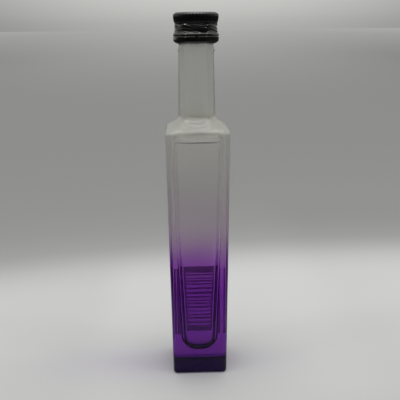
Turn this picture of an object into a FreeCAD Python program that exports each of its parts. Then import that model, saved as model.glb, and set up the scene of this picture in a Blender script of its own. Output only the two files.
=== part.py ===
"""A miniature spirit bottle: square tapered glass, its drink, a roll-on metal cap and a back label.

The origin is the middle of the base that the bottle stands on, +Z runs up to the cap, and the
plain front of the bottle faces -Y. All sizes are in millimetres.
"""
import FreeCAD, Part
import Sketcher
import os

# ------------------------------------------------------------------ driving dimensions
SIZES = {
    # outside of the glass
    "total_height": 157.5,
    "base_width": 24.2,
    "shoulder_width": 26.6,
    "body_height": 113.5,
    "body_edge_radius": 2.0,
    "shoulder_edge_radius": 3.0,
    "base_edge_radius": 1.3,
    "neck_foot_diameter": 15.5,
    "neck_top_diameter": 14.3,
    "neck_flare_radius": 2.5,
    "lug_proud": 0.4,
    "lug_tall": 1.5,
    "lug_wide": 3.0,
    "lug_below_cap": 2.6,
    # inside of the glass
    "base_glass": 8.7,
    "shoulder_glass": 2.4,
    "hollow_floor_width": 16.6,
    "hollow_top_width": 21.4,
    "hollow_edge_radius": 4.2,
    "hollow_floor_rise": 7.4,
    "hollow_top_radius": 2.8,
    "bore_diameter": 9.8,
    "bore_flare_radius": 1.6,
    "mouth_edge_radius": 0.6,
    # air left above the drink, under the top of the hollow
    "headspace": 5.1,
    # cap, whose heights are counted up from its lip
    "cap_height": 12.1,
    "cap_dome": 0.8,
    "cap_wall": 0.3,
    "cap_clearance": 0.1,
    "cap_lip_diameter": 15.4,
    "cap_band_diameter": 18.6,
    "cap_band_foot": 1.0,
    "cap_band_top": 3.9,
    "cap_waist_diameter": 16.6,
    "cap_waist_foot": 4.6,
    "cap_waist_top": 8.0,
    "cap_thread_proud": 0.25,
    "cap_knurl_diameter": 18.0,
    "cap_knurl_foot": 8.9,
    "cap_knurl_top": 10.7,
    "cap_rim_diameter": 16.6,
    "knurl_tooth_proud": 0.25,
    "knurl_tooth_wide": 0.6,
    "slit_height": 2.4,
    "slit_tall": 0.3,
    "bridge_angle": 8.0,
    # label on the back face
    "label_width": 20.0,
    "label_height": 33.1,
    "label_foot": 12.3,
    "label_thickness": 0.15,
}
BOWL_STEPS = 9
NEARLY_ROUND = 0.98
THREAD_TURNS = 2
KNURL_TEETH = 42
SLITS = 8

doc = FreeCAD.newDocument("miniature_bottle")
sheet = doc.addObject("Spreadsheet::Sheet", "sizes")
for row, (alias, value) in enumerate(SIZES.items(), start=1):
    sheet.set(f"A{row}", alias)
    sheet.set(f"B{row}", str(value))
    sheet.setAlias(f"B{row}", alias)
doc.recompute()


# ------------------------------------------------------------------ steps that pieces share
def cells(expression):
    """An expression in which @name stands for that cell of the sheet."""
    return expression.replace("@", "sizes.")


def value_of(expression):
    """The number that such an expression gives."""
    return float(sheet.evalExpression(cells(expression)))


def bind(thing, prop, expression):
    """Drives a property of a document object from the sheet."""
    thing.setExpression(prop, cells(expression))


def add_rule(sketch, name, expression, kind, *where):
    """A dimension in a sketch, driven from the sheet."""
    index = sketch.addConstraint(Sketcher.Constraint(kind, *where, value_of(expression)))
    sketch.renameConstraint(index, name)
    bind(sketch, f"Constraints.{name}", expression)


def add_sketch(body, name, role):
    """An empty sketch on one of the body's origin planes."""
    plane = next(p for p in body.Origin.OriginFeatures if p.Role == role)
    sketch = body.newObject("Sketcher::SketchObject", name)
    sketch.AttachmentSupport = [(plane, "")]
    sketch.MapMode = "FlatFace"
    return sketch


def outline_sketch(body, name, points):
    """A closed outline of straight lines in the XZ plane, each point a pair of expressions."""
    sketch = add_sketch(body, name, "XZ_Plane")
    places = [FreeCAD.Vector(value_of(across), value_of(up), 0) for across, up in points]
    for here, following in zip(places, places[1:] + places[:1]):
        sketch.addGeometry(Part.LineSegment(here, following), False)
    for k in range(len(places)):
        following = (k + 1) % len(places)
        sketch.addConstraint(Sketcher.Constraint("Coincident", k, 2, following, 1))
    for k, (across, up) in enumerate(points):
        if across == "0":
            sketch.addConstraint(Sketcher.Constraint("PointOnObject", k, 1, -2))
        else:
            add_rule(sketch, f"across_{k}", across, "DistanceX", -1, 1, k, 1)
        add_rule(sketch, f"up_{k}", up, "DistanceY", -1, 1, k, 1)
    return sketch


def rounded_square(body, name, half_width, corner_radius, level):
    """A square with round corners, centred on the Z axis and lying at a level above the base."""
    sketch = add_sketch(body, name, "XY_Plane")
    bind(sketch, "AttachmentOffset.Base.z", level)
    half = value_of(half_width)
    radius = value_of(corner_radius)
    flat = half - radius
    vector = FreeCAD.Vector
    up = vector(0, 0, 1)
    turns = [FreeCAD.Rotation(up, 90 * side) for side in range(4)]
    for turn in turns:
        start = turn.multVec(vector(-flat, -half, 0))
        end = turn.multVec(vector(flat, -half, 0))
        sketch.addGeometry(Part.LineSegment(start, end), False)
    for turn in turns:
        centre = turn.multVec(vector(flat, -flat, 0))
        middle = centre + turn.multVec(vector(radius, -radius, 0)) / 2**0.5
        start = turn.multVec(vector(flat, -half, 0))
        end = turn.multVec(vector(half, -flat, 0))
        sketch.addGeometry(Part.Arc(start, middle, end), False)
    for side in range(4):
        corner = side + 4
        following = (side + 1) % 4
        sketch.addConstraint(Sketcher.Constraint("Tangent", side, 2, corner, 1))
        sketch.addConstraint(Sketcher.Constraint("Tangent", corner, 2, following, 1))
        direction = "Horizontal" if side % 2 == 0 else "Vertical"
        sketch.addConstraint(Sketcher.Constraint(direction, side))
        if side:
            sketch.addConstraint(Sketcher.Constraint("Equal", 4, corner))
    add_rule(sketch, "corner", corner_radius, "Radius", 4)
    add_rule(sketch, "right", half_width, "DistanceX", -1, 1, 1, 1)
    add_rule(sketch, "left", half_width, "DistanceX", 3, 1, -1, 1)
    add_rule(sketch, "back", half_width, "DistanceY", -1, 1, 2, 1)
    add_rule(sketch, "front", half_width, "DistanceY", 0, 1, -1, 1)
    return sketch


def add_loft(body, name, sections):
    """A solid drawn smoothly through sections, from the first to the last."""
    loft = body.newObject("PartDesign::AdditiveLoft", name)
    loft.Profile = sections[0]
    loft.Sections = sections[1:]
    return loft


def add_tapered(body, name, section, length, widening):
    """A section raised by a length, each side leaning out by the widening on the way."""
    pad = body.newObject("PartDesign::Pad", name)
    pad.Profile = section
    bind(pad, "Length", length)
    bind(pad, "TaperAngle", f"atan(({widening}) / ({length}))")
    return pad


def add_turned(body, name, sketch):
    """An outline turned right round the body's Z axis."""
    turned = body.newObject("PartDesign::Revolution", name)
    turned.Profile = sketch
    turned.ReferenceAxis = (sketch, ["V_Axis"])
    turned.Angle = 360
    return turned


def round_edges(body, name, radius, wanted):
    """Rounds those edges of the body's last feature whose bounding box is wanted."""
    doc.recompute()
    base = body.Tip
    edges = base.Shape.Edges
    names = [f"Edge{k}" for k, edge in enumerate(edges, start=1) if wanted(edge.BoundBox)]
    fillet = body.newObject("PartDesign::Fillet", name)
    fillet.Base = (base, names)
    bind(fillet, "Radius", radius)
    return fillet


def level_at(height):
    """A test for edges that lie flat at a height."""
    wanted = value_of(height)
    return lambda box: abs(box.ZMin - wanted) < 1e-4 and abs(box.ZMax - wanted) < 1e-4


def add_body(name):
    """A body with its own origin, standing on the shared one."""
    body = doc.addObject("PartDesign::Body", name)
    body.Label = name
    body.Placement = FreeCAD.Placement()
    return body


# ------------------------------------------------------------------ heights that pieces share
CAP_FOOT = "(@total_height - @cap_height)"
CAP_RIM = "(@total_height - @cap_dome)"
MOUTH = f"({CAP_RIM} - @cap_wall)"
HOLLOW_TOP = "(@body_height - @shoulder_glass)"


def above_lip(alias):
    """The height of a level of the cap, which is counted up from its lip."""
    return f"({CAP_FOOT} + @{alias})"


# ------------------------------------------------------------------ glass, outside
blank = add_body("glass_blank")
base_section = rounded_square(blank, "base", "@base_width / 2", "@body_edge_radius", "0")
WIDENING = "(@shoulder_width - @base_width) / 2"
add_tapered(blank, "walls", base_section, "@body_height", WIDENING)
# The corners are rounder at the shoulder by as much as each side has leaned out there.
CORNER_AT_SHOULDER = f"(@body_edge_radius + {WIDENING})"
SHOULDER_ROUNDING = f"min(@shoulder_edge_radius; 0.95 * {CORNER_AT_SHOULDER})"
round_edges(blank, "shoulder_edge", SHOULDER_ROUNDING, level_at("@body_height"))
round_edges(blank, "base_edge", "@base_edge_radius", level_at("0"))

# The neck is a slight cone. Under the cap it carries the ring that the cap's band grips and the
# plain land that its waist is rolled on to.
NECK_TOP_RADIUS = "@neck_top_diameter / 2"
RING_RADIUS = "(@cap_band_diameter / 2 - @cap_wall - @cap_clearance)"
LAND_RADIUS = "(@cap_waist_diameter / 2 - @cap_wall - @cap_clearance)"
neck_sketch = outline_sketch(
    blank,
    "neck_outline",
    [
        ("0", HOLLOW_TOP),
        ("@neck_foot_diameter / 2", HOLLOW_TOP),
        ("@neck_foot_diameter / 2", "@body_height"),
        (NECK_TOP_RADIUS, CAP_FOOT),
        (NECK_TOP_RADIUS, f"{CAP_FOOT} + @cap_band_foot / 2"),
        (RING_RADIUS, f"{above_lip('cap_band_foot')} + @cap_wall"),
        (RING_RADIUS, f"{above_lip('cap_band_top')} - @cap_wall"),
        (LAND_RADIUS, f"{above_lip('cap_waist_foot')} - @cap_wall"),
        (LAND_RADIUS, MOUTH),
        ("0", MOUTH),
    ],
)
add_turned(blank, "neck", neck_sketch)


def neck_foot(box):
    """True for the ring where the neck meets the shoulder."""
    flat = level_at("@body_height")(box)
    return flat and abs(box.XMax - value_of("@neck_foot_diameter / 2")) < 1e-3


ROOM_ROUND_NECK = "(@shoulder_width / 2 - @shoulder_edge_radius - @neck_foot_diameter / 2)"
round_edges(blank, "neck_flare", f"min(@neck_flare_radius; 0.95 * {ROOM_ROUND_NECK})", neck_foot)
round_edges(blank, "mouth_edge", "@mouth_edge_radius", level_at(MOUTH))

# Two small lugs stand out on either side of the neck, just under the cap.
LUG_LEVEL = f"({CAP_FOOT} - @lug_below_cap)"
for side, sign in (("right", "1"), ("left", "-1")):
    lug = blank.newObject("PartDesign::AdditiveEllipsoid", f"lug_{side}")
    bind(lug, "Radius1", "@lug_tall / 2")
    bind(lug, "Radius2", "@lug_proud")
    bind(lug, "Radius3", "@lug_wide / 2")
    bind(lug, "Placement.Base.x", f"{sign} * {NECK_TOP_RADIUS}")
    bind(lug, "Placement.Base.z", LUG_LEVEL)

# ------------------------------------------------------------------ glass, inside
# The hollow is a square well with round corners. Its floor is a bowl whose sections grow and
# rise as the sine and cosine of a quarter turn, and grow squarer as they rise.
hollow = add_body("hollow")
FLOOR_HALF = "@hollow_floor_width / 2"
bowl_sections = []
for step in range(1, BOWL_STEPS + 1):
    share = f"{step} / {BOWL_STEPS}"
    half_width = f"{FLOOR_HALF} * sin(90 * {share})"
    squareness = f"({NEARLY_ROUND} - @hollow_edge_radius / ({FLOOR_HALF}))"
    roundness = f"({NEARLY_ROUND} - {share} * {squareness})"
    level = f"@base_glass + @hollow_floor_rise * (1 - cos(90 * {share}))"
    section = rounded_square(
        hollow, f"bowl_{step}", half_width, f"{half_width} * {roundness}", level
    )
    bowl_sections.append(section)
add_loft(hollow, "bowl", bowl_sections)
WELL_LENGTH = f"{HOLLOW_TOP} - @base_glass - @hollow_floor_rise"
HOLLOW_WIDENING = "(@hollow_top_width - @hollow_floor_width) / 2"
add_tapered(hollow, "well", bowl_sections[-1], WELL_LENGTH, HOLLOW_WIDENING)
round_edges(hollow, "well_top_edge", "@hollow_top_radius", level_at(HOLLOW_TOP))
bore = hollow.newObject("PartDesign::AdditiveCylinder", "bore")
bind(bore, "Radius", "@bore_diameter / 2")
bind(bore, "Height", f"{MOUTH} - {HOLLOW_TOP} + @shoulder_glass")
bind(bore, "Placement.Base.z", f"{HOLLOW_TOP} - @shoulder_glass")


def bore_foot(box):
    """True for the ring where the bore opens into the well."""
    flat = level_at(HOLLOW_TOP)(box)
    return flat and abs(box.XMax - value_of("@bore_diameter / 2")) < 1e-3


ROOM_ROUND_BORE = "(@hollow_top_width / 2 - @hollow_top_radius - @bore_diameter / 2)"
round_edges(hollow, "bore_flare", f"min(@bore_flare_radius; 0.9 * {ROOM_ROUND_BORE})", bore_foot)

bottle = doc.addObject("Part::Cut", "bottle")
bottle.Base = blank
bottle.Tool = hollow
bottle.Label = "bottle"

# ------------------------------------------------------------------ drink
# The drink is the hollow up to the level of its surface.
below_level = doc.addObject("Part::Box", "below_level")
for prop in ("Length", "Width"):
    bind(below_level, prop, "@shoulder_width")
bind(below_level, "Height", f"{HOLLOW_TOP} - @headspace")
for axis in ("x", "y"):
    bind(below_level, f"Placement.Base.{axis}", "-@shoulder_width / 2")
liquid = doc.addObject("Part::Common", "liquid")
liquid.Base = hollow
liquid.Tool = below_level
liquid.Label = "liquid"

# ------------------------------------------------------------------ cap
# A thin shell: a lip curled in under the glass ring, a band over the ring, a narrow waist with
# the thread pressed into it, a knurled collar and a slightly domed top.
cap = add_body("cap")
WAIST = "(@cap_waist_diameter / 2)"
COLLAR = "(@cap_knurl_diameter / 2 - @knurl_tooth_proud)"
THREAD_STEP = f"(@cap_waist_top - @cap_waist_foot) / {2 * THREAD_TURNS}"
skirt = [
    ("@cap_lip_diameter / 2", CAP_FOOT),
    ("@cap_band_diameter / 2", above_lip("cap_band_foot")),
    ("@cap_band_diameter / 2", above_lip("cap_band_top")),
    (WAIST, above_lip("cap_waist_foot")),
]
for turn in range(THREAD_TURNS):
    crest = f"{above_lip('cap_waist_foot')} + {2 * turn + 1} * {THREAD_STEP}"
    root = f"{above_lip('cap_waist_foot')} + {2 * turn + 2} * {THREAD_STEP}"
    skirt.append((f"{WAIST} + @cap_thread_proud", crest))
    skirt.append((WAIST, root))
skirt.append((COLLAR, above_lip("cap_knurl_foot")))
skirt.append((COLLAR, above_lip("cap_knurl_top")))
dome = [("@cap_rim_diameter / 2", CAP_RIM)]
for share in (0.7, 0.4, 0.0):
    across = f"{share} * @cap_rim_diameter / 2" if share else "0"
    dome.append((across, f"{CAP_RIM} + @cap_dome * (1 - {share}^2)"))
inside_of_top = [("0", MOUTH), (f"{COLLAR} - @cap_wall", MOUTH)]
inside_of_skirt = [(f"{across} - @cap_wall", up) for across, up in reversed(skirt[:-1])]
cap_sketch = outline_sketch(cap, "cap_outline", skirt + dome + inside_of_top + inside_of_skirt)
add_turned(cap, "shell", cap_sketch)

tooth = cap.newObject("PartDesign::AdditiveBox", "tooth")
bind(tooth, "Length", "@knurl_tooth_proud + @cap_wall / 2")
bind(tooth, "Width", "@knurl_tooth_wide")
bind(tooth, "Height", "@cap_knurl_top - @cap_knurl_foot")
bind(tooth, "Placement.Base.x", f"{COLLAR} - @cap_wall / 2")
bind(tooth, "Placement.Base.y", "-@knurl_tooth_wide / 2")
bind(tooth, "Placement.Base.z", above_lip("cap_knurl_foot"))


def pattern_round(body, name, feature, count):
    """Repeats a feature evenly round the body's Z axis."""
    doc.recompute()
    axis = next(line for line in body.Origin.OriginFeatures if line.Role == "Z_Axis")
    pattern = body.newObject("PartDesign::PolarPattern", name)
    pattern.Originals = [feature]
    pattern.Axis = (axis, [""])
    pattern.Angle = 360
    pattern.Occurrences = count
    body.Tip = pattern
    return pattern


pattern_round(cap, "knurl", tooth, KNURL_TEETH)

# Slits with short bridges between them part the band's foot from the cap when it is first turned.
slit_sketch = outline_sketch(
    cap,
    "slit_outline",
    [
        ("@cap_band_diameter / 2 - 1.5 * @cap_wall", above_lip("slit_height")),
        ("@cap_band_diameter / 2 + @cap_wall", above_lip("slit_height")),
        ("@cap_band_diameter / 2 + @cap_wall", f"{above_lip('slit_height')} + @slit_tall"),
        ("@cap_band_diameter / 2 - 1.5 * @cap_wall", f"{above_lip('slit_height')} + @slit_tall"),
    ],
)
doc.recompute()
unslit_volume = cap.Shape.Volume
slit = cap.newObject("PartDesign::Groove", "slit")
slit.Profile = slit_sketch
slit.ReferenceAxis = (slit_sketch, ["V_Axis"])
bind(slit, "Angle", f"360 / {SLITS} - @bridge_angle")
pattern_round(cap, "slits", slit, SLITS)

# ------------------------------------------------------------------ label
# A thin film that lies on the middle of the sloping back face.
SLOPE = f"({WIDENING} / @body_height)"
back_label = doc.addObject("Part::Box", "back_label")
back_label.Label = "back_label"
bind(back_label, "Length", "@label_width")
bind(back_label, "Width", "@label_thickness")
bind(back_label, "Height", "@label_height")
back_label.Placement.Rotation.Axis = FreeCAD.Vector(-1, 0, 0)
bind(back_label, "Placement.Rotation.Angle", f"atan({SLOPE})")
bind(back_label, "Placement.Base.x", "-@label_width / 2")
bind(back_label, "Placement.Base.y", f"@base_width / 2 + @label_foot * {SLOPE}")
bind(back_label, "Placement.Base.z", "@label_foot")

# ------------------------------------------------------------------ checks and files
doc.recompute()
for thing in doc.Objects:
    faults = {"Invalid", "Error"} & set(thing.State)
    assert not faults, f"{thing.Name} failed: {faults}"
assert cap.Shape.Volume < unslit_volume, "the slits cut nothing"

os.makedirs("parts", exist_ok=True)
for piece in (bottle, liquid, cap, back_label):
    shape = piece.Shape
    assert not shape.isNull() and shape.isValid(), f"{piece.Label} has no sound shape"
    assert len(shape.Solids) == 1, f"{piece.Label} isn't one solid"
    shape.exportStep(f"parts/{piece.Label}.step")
    box = shape.BoundBox
    spans = f"{box.XLength:.2f} x {box.YLength:.2f} x {box.ZLength:.2f}"
    print(f"{piece.Label}: {spans} mm, {shape.Volume / 1000:.2f} ml")
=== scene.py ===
# %% [markdown]
# # A square glass miniature with a roll-on cap
# This lesson dresses a small spirit bottle: a square bottle that tapers towards its base,
# frosted above and dyed violet below, with a clear drink in it, a black metal cap and a label
# on the back. The bottle's measured frame comes from a CAD file, so nothing has to be fitted
# by eye: each piece is worked out in metres in the frame's own place.
# The frame is loaded first, and its box is kept, because the finished model has to stay in it.

import bpy
import numpy as np
from mathutils import Matrix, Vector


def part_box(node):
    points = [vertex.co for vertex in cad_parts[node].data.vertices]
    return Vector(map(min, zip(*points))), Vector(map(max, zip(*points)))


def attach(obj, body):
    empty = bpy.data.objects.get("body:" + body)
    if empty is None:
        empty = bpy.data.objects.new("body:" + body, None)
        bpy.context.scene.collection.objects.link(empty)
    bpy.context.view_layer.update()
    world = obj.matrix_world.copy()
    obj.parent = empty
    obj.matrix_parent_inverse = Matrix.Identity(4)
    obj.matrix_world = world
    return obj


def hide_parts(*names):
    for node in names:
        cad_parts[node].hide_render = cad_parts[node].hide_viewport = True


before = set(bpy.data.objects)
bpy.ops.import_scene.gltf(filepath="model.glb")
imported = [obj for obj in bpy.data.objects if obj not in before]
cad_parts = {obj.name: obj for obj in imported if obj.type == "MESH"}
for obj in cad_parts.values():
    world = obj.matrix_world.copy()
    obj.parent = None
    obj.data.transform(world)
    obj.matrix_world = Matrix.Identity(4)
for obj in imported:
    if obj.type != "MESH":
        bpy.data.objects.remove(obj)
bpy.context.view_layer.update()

MM = 0.001
print("frame nodes:", sorted(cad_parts))

# %% [markdown]
# ## Surfaces as grids
# Every new piece here is a skin that runs round the upright axis: a stack of rings, each with
# the same number of points. One function can close the first and last ring with a point and
# join the rings with four-sided faces. The alternative, spinning a curve with a modifier, can't
# turn a square ring into a round one, which a square bottle with a round neck needs.
# If the rings run out along the underside, up the outside and back to the axis, all the faces
# look outwards.

# %% Rings to a mesh
def ring_faces(rows, columns):
    """Four-sided faces between neighbouring rings, and a fan of triangles at either end.
    Point number 0 is the first pole, point r * columns + c + 1 is column c of ring r, and the
    last point is the second pole."""
    column = np.arange(columns)
    following = (column + 1) % columns
    start = 1 + columns * np.arange(rows - 1)[:, None]
    quads = np.stack(
        [start + column, start + following, start + columns + following, start + columns + column],
        axis=-1,
    ).reshape(-1, 4)
    last = 1 + columns * (rows - 1)
    opening = np.stack([np.zeros(columns, int), 1 + following, 1 + column], axis=-1)
    closing = np.stack([last + column, last + following, np.full(columns, last + columns)], axis=-1)
    return opening, quads, closing


def ringed_object(name, first_pole, rings, last_pole, finishes, finish_of_row):
    """An object from rings, an array of rows by columns by three. finish_of_row gives the place
    in finishes of the band of faces that starts at each row."""
    rows, columns = rings.shape[:2]
    points = np.vstack([first_pole, rings.reshape(-1, 3), last_pole])
    opening, quads, closing = ring_faces(rows, columns)
    mesh = bpy.data.meshes.new(name)
    mesh.from_pydata(points.tolist(), [], opening.tolist() + quads.tolist() + closing.tolist())
    for finish in finishes:
        mesh.materials.append(finish)
    bands = np.asarray(finish_of_row)
    first, last = np.full(columns, bands[0]), np.full(columns, bands[-1])
    indices = np.concatenate([first, np.repeat(bands[: rows - 1], columns), last])
    mesh.polygons.foreach_set("material_index", indices.astype(np.int32))
    mesh.polygons.foreach_set("use_smooth", np.ones(len(mesh.polygons), bool))
    mesh.validate()
    made = bpy.data.objects.new(name, mesh)
    bpy.context.scene.collection.objects.link(made)
    print(f"{name}: {rows} rings of {columns} points, {len(mesh.polygons)} faces")
    return made


# %% [markdown]
# ## A rounded square in one formula
# The bottle and its hollow are squares with round corners whose corner radius changes with
# height. Seen from the axis, such a square has one radius in each direction, so a whole ring is
# one line of numpy. A circle is the same shape with its corner radius as large as its half
# width, so the shoulder can pass from square to round with no seam.

# %% Rounded square
def rounded_square(half, corner, angle):
    """The distance from the axis to a rounded square, in a direction.
    Folded into one eighth of a turn, the direction meets the straight side at half / cos(angle)
    while it is short of the corner. Further on it meets the corner's circle, whose centre lies at
    half - corner both ways, and the distance is the larger root of the quadratic for that."""
    fold = np.abs((angle + np.pi / 4) % (np.pi / 2) - np.pi / 4)
    centre = half - corner
    both = np.cos(fold) + np.sin(fold)
    under_root = np.maximum(centre**2 * both**2 - 2 * centre**2 + corner**2, 0.0)
    on_side = half * np.tan(fold) <= centre
    return np.where(on_side, half / np.cos(fold), centre * both + np.sqrt(under_root))


def turned_rings(radius, height, angle):
    """Rings from a radius on a grid and a height for each row or each point."""
    height = np.broadcast_to(np.reshape(height, (len(radius), -1)), radius.shape)
    return np.stack([radius * np.cos(angle), radius * np.sin(angle), height], axis=-1)


def ring_points(half, corner, height, angle):
    """Rings of points from columns of half widths, corner radii and heights."""
    return turned_rings(rounded_square(half[:, None], corner[:, None], angle), height, angle)


def corner_angles():
    """Directions for one turn, closest together where the corners bend and at the neck's lugs."""
    eighth = np.concatenate(
        [
            np.arange(0, 12, 1.5),
            np.arange(12, 21, 1.8),
            np.arange(21, 38, 1.25),
            np.linspace(38, 45, 13),
        ]
    )
    quarter = np.concatenate([eighth, 90 - eighth[-2:0:-1]])
    turn = np.concatenate([quarter + 90 * side for side in range(4)])
    return np.radians(turn)


AROUND = corner_angles()
print("columns round the bottle:", len(AROUND))

# %% [markdown]
# ## The glass, outside
# A bottle of this kind is pressed and blown in a mould whose walls lean out by a few tenths of a
# degree, so that it comes out cleanly. Its skin is therefore easy to state: a small round at the
# base, a leaning wall, a shoulder that slopes gently up, and a neck that is a slight cone.
# Each stretch gives three columns: half width, corner radius and height. The rows lie close
# together where a bend starts, so the smooth shading of a flat wall isn't pulled by the bend.

# %% Outside of the glass
BASE_HALF, BASE_CORNER = 12.1 * MM, 2.0 * MM
LEAN = 1.2 / 113.5
SHOULDER_Z = 113.5 * MM
BASE_ROUND = 1.3 * MM
SHOULDER_SLOPE = 27
SHOULDER_ROUND, NECK_ROUND = 1.7 * MM, 3.8 * MM
WALL_TOP_Z, NECK_START_Z = 110.0 * MM, 117.0 * MM
BASE_PUSH_UP = 0.10 * MM
MOUTH_ROUND = 0.6 * MM


def stretch(half, corner, height):
    """Three columns of one stretch of the profile, each stretched to the longest."""
    return np.stack(np.broadcast_arrays(half, corner, height), axis=-1).astype(float)


def close_ends(start, end, rows, margin=0.35 * MM):
    """Heights from start to end with an extra row just inside either end."""
    step = np.sign(end - start) * margin
    return np.concatenate([[start], np.linspace(start + step, end - step, rows), [end]])


def base_and_wall():
    """Out along the slightly pushed-up base, round its edge, and up the leaning wall. The round
    takes as much off the corner radius as off the half width."""
    inner = np.array([0.04, 0.2, 0.4, 0.6, 0.75, 0.88, 0.96, 0.99])
    rest_half, rest_corner = BASE_HALF - BASE_ROUND, BASE_CORNER - BASE_ROUND
    roundness = 1 - (1 - rest_corner / rest_half) * inner**2
    under = stretch(
        rest_half * inner,
        rest_half * inner * roundness,
        BASE_PUSH_UP * np.clip(1 - inner / 0.9, 0, 1) ** 0.7,
    )
    turn = np.radians(np.linspace(0, 90, 9))
    inset = BASE_ROUND * (1 - np.sin(turn))
    edge = stretch(BASE_HALF - inset, BASE_CORNER - inset, BASE_ROUND * (1 - np.cos(turn)))
    rise = close_ends(BASE_ROUND, WALL_TOP_Z, 44)
    wall = stretch(BASE_HALF + LEAN * rise, BASE_CORNER + LEAN * rise, rise)
    return np.vstack([under, edge, wall[1:]])


print("base:", round(2 * BASE_HALF / MM, 1), "mm wide, wall up to", round(WALL_TOP_Z / MM, 1), "mm")

# %% [markdown]
# ## Shoulder and neck
# The square has to become a circle on the way from the wall to the neck. The shoulder does it
# between two round bends, with the corner radius growing as the height does. The neck above is
# round, so from there on half width and corner radius are the same.

# %% Shoulder and neck
NECK_FOOT, NECK_TOP = 7.75 * MM, 7.15 * MM
CAP_FOOT_Z = float(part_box("cap")[0].z)
MOUTH_Z = float(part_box("bottle")[1].z)


def neck_radius(height):
    """A slight cone: the radius falls evenly from the neck's foot to the cap's foot."""
    share = (height - SHOULDER_Z) / (CAP_FOOT_Z - SHOULDER_Z)
    return NECK_FOOT + (NECK_TOP - NECK_FOOT) * share


def shoulder():
    """Out of the wall by part of a circle, up a gentle slope, and into the neck by part of a
    hollow circle. On the way up the corners grow rounder by a sine of the height, until the
    square is a circle."""
    turn = np.radians(np.linspace(0, 90 - SHOULDER_SLOPE, 13))
    wall_half = BASE_HALF + LEAN * WALL_TOP_Z
    convex = wall_half - SHOULDER_ROUND * (1 - np.cos(turn))
    convex_z = WALL_TOP_Z + SHOULDER_ROUND * np.sin(turn)
    concave = neck_radius(NECK_START_Z) + NECK_ROUND * (1 - np.cos(turn[::-1]))
    concave_z = NECK_START_Z - NECK_ROUND * np.sin(turn[::-1])
    share = np.linspace(0, 1, 9)[1:-1]
    half = np.concatenate([convex, convex[-1] * (1 - share) + concave[0] * share, concave])
    height = np.concatenate(
        [convex_z, convex_z[-1] * (1 - share) + concave_z[0] * share, concave_z]
    )
    rounder = np.sin(np.clip((height - WALL_TOP_Z) / (NECK_START_Z - WALL_TOP_Z), 0, 1) * np.pi / 2)
    corner = (BASE_CORNER + LEAN * WALL_TOP_Z) * (1 - rounder) + half * rounder
    return stretch(half, corner, height)[1:]


def neck():
    """The cone from the shoulder up to the cap's foot, with closer rows where the lugs stand."""
    rise = np.concatenate(
        [
            close_ends(NECK_START_Z, CAP_FOOT_Z - 4.2 * MM, 16)[1:],
            np.linspace(CAP_FOOT_Z - 4.0 * MM, CAP_FOOT_Z - 1.2 * MM, 19),
            [CAP_FOOT_Z],
        ]
    )
    return stretch(neck_radius(rise), neck_radius(rise), rise)


def neck_finish():
    """Under the cap: a cone out to the ring that the cap's band grips, a cone back to the land,
    and the land up to the mouth's round edge. All of it is round, so half width and corner
    radius are the same."""
    heights = CAP_FOOT_Z + MM * np.array([0.5, 1.3, 1.4, 2.4, 3.5, 3.6, 4.3, 4.4, 7.0, 10.3])
    radii = MM * np.array([7.15, 8.85, 8.9, 8.9, 8.9, 8.85, 7.95, 7.9, 7.9, 7.9])
    turn = np.radians(np.linspace(0, 90, 7))[1:]
    radii = np.append(radii, radii[-1] - MOUTH_ROUND * (1 - np.cos(turn)))
    heights = np.append(heights, MOUTH_Z - MOUTH_ROUND * (1 - np.sin(turn)))
    return stretch(radii, radii, heights)


outside = np.vstack([base_and_wall(), shoulder(), neck(), neck_finish()])
print("profile stations outside:", len(outside))

# %% [markdown]
# ## The glass, inside
# The hollow is a square well too, but much rounder in its corners, because blown glass is
# thickest there. It narrows downwards more than the outside does, and it ends in a bowl over a
# heavy base. The drink wets it up to a line, and where it is wet the light passes from glass to
# drink instead of from glass to air, so the rows stop exactly at that line.

# %% Inside of the glass
BORE, BORE_FLARE = 4.9 * MM, 1.6 * MM
HOLLOW_TOP_Z = 110.0 * MM
HOLLOW_TOP_HALF, HOLLOW_TOP_CORNER = 10.7 * MM, 3.6 * MM
HOLLOW_TOP_ROUND = 3.1 * MM
WELL_FLOOR_Z, BOWL_FLOOR_Z = 16.1 * MM, 8.7 * MM
FLOOR_HALF = 8.3 * MM
GATHER, GATHER_Z, GATHER_REACH = 2.5 * MM, 14 * MM, 26 * MM
RIPPLE = 0.05 * MM
DRINK_Z = float(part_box("liquid")[1].z)
CAPILLARY, MENISCUS = 1.7 * MM, 1.9 * MM
WET_LINE_Z = DRINK_Z + 0.9 * MM
LEVEL_Z = WET_LINE_Z - MENISCUS


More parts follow.
